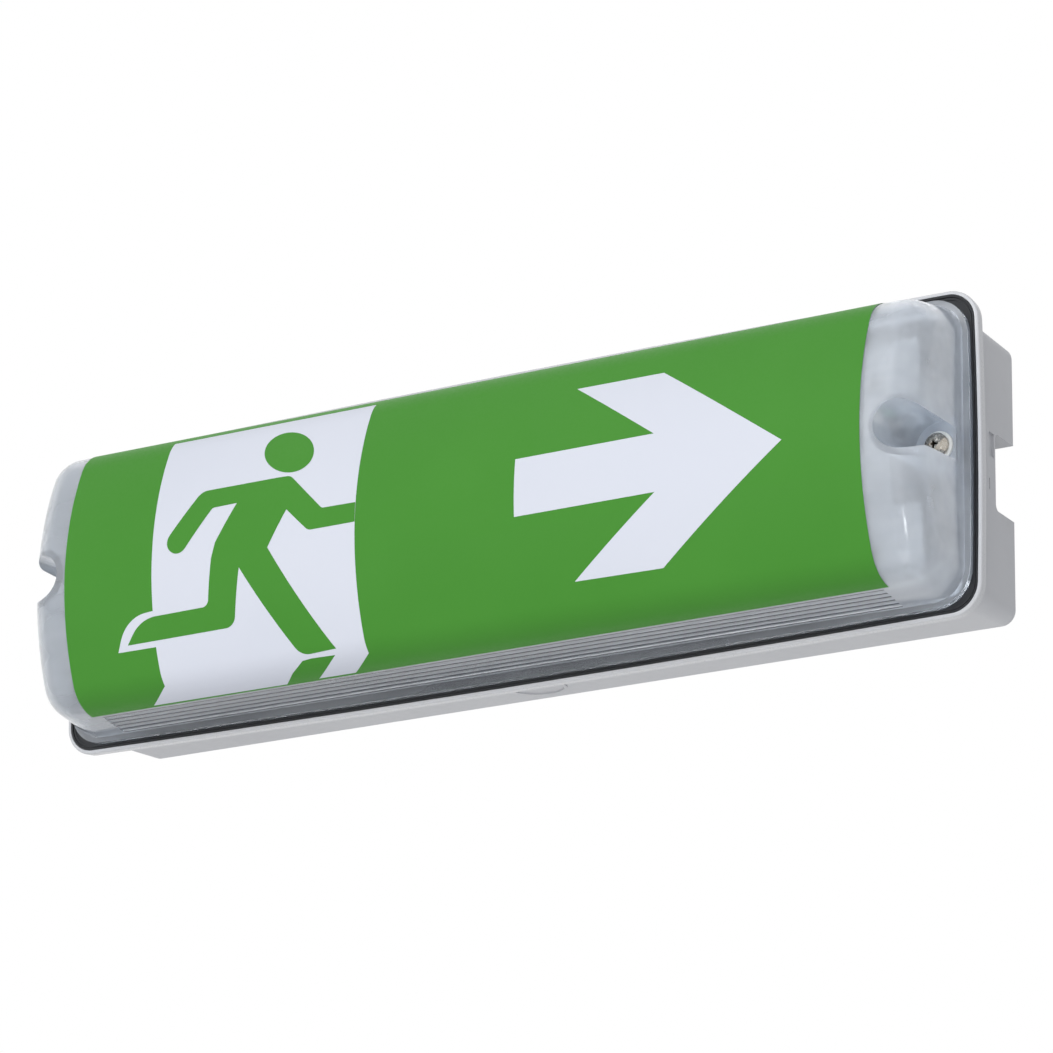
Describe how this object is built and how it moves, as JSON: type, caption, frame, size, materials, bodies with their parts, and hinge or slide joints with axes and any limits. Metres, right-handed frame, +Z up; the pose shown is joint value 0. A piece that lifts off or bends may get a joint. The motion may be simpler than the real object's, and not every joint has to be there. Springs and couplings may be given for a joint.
{
  "type": "emergency exit light",
  "caption": "Wall-mounted emergency exit light: moulded housing with a gasketed rim, a clear trough cover with a green and white way-out film, and a fluorescent tube and battery gear inside.",
  "frame": {"origin": "centre of the flat wall face at the back of the housing", "axes": "+X along the length, +Z up, +Y into the wall, so the cover faces -Y"},
  "size_m": [0.4138, 0.0861, 0.1288],
  "materials": {
    "housing": "satin",
    "gasket": "matt",
    "lens": "clear",
    "sign": "satin printed film",
    "fastener": "satin",
    "washer": "satin",
    "tray": "satin",
    "tube": "coated inside",
    "cap": "satin",
    "pin": "polished",
    "holder": "satin",
    "rotor": "satin",
    "board": "satin",
    "spacer": "satin",
    "ferrite": "matt",
    "winding": "taped",
    "capacitor": "sleeved",
    "transistor": "matt",
    "header": "satin",
    "battery": "shrunk sleeve",
    "strap": "satin",
    "terminal": "satin",
    "terminal_screw": "plain",
    "led": "tinted",
    "bezel": "gloss",
    "seal": "matt",
    "lead_lamp": "insulated",
    "lead_battery": "insulated",
    "lead_mains": "insulated"
  },
  "bodies": {
    "base": {"base_housing": "housing", "rim_gasket": "gasket", "gear_tray": "tray", "tray_screws": "fastener", "lampholder_left": "holder", "lampholder_right": "holder", "circuit_board": "board", "board_spacers": "spacer", "transformer_core": "ferrite", "transformer_coil": "winding", "smoothing_capacitors": "capacitor", "power_transistors": "transistor", "board_connectors": "header", "battery_pack": "battery", "battery_straps": "strap", "mains_terminals": "terminal", "terminal_screws": "terminal_screw", "indicator_led": "led", "indicator_bezel": "bezel", "fixing_seals": "seal", "entry_grommet": "seal", "lamp_leads_left": "lead_lamp", "lamp_leads_right": "lead_lamp", "battery_leads": "lead_battery", "mains_leads": "lead_mains"},
    "cover": {"lens_cover": "lens", "sign_film": "sign", "cover_washers": "washer"},
    "screw_left": {"cover_screw_left": "fastener"},
    "screw_right": {"cover_screw_right": "fastener"},
    "lamp": {"fluorescent_tube": "tube", "tube_caps": "cap", "tube_pins": "pin", "holder_rotors": "rotor"}
  },
  "joints": [
    {"name": "cover_lift", "type": "slide", "parent": "base", "child": "cover", "axis": [0, -1, 0], "range_m": [0, 0.12]},
    {"name": "cover_screw_left_turn", "type": "hinge", "parent": "cover", "child": "screw_left", "pos_m": [-0.1932, -0.055, 0], "axis": [0, -1, 0], "continuous": true},
    {"name": "cover_screw_right_turn", "type": "hinge", "parent": "cover", "child": "screw_right", "pos_m": [0.1932, -0.055, 0], "axis": [0, -1, 0], "continuous": true},
    {"name": "lamp_turn", "type": "hinge", "parent": "base", "child": "lamp", "pos_m": [0, -0.0615, 0], "axis": [1, 0, 0], "range_deg": [-90, 90]}
  ]
}
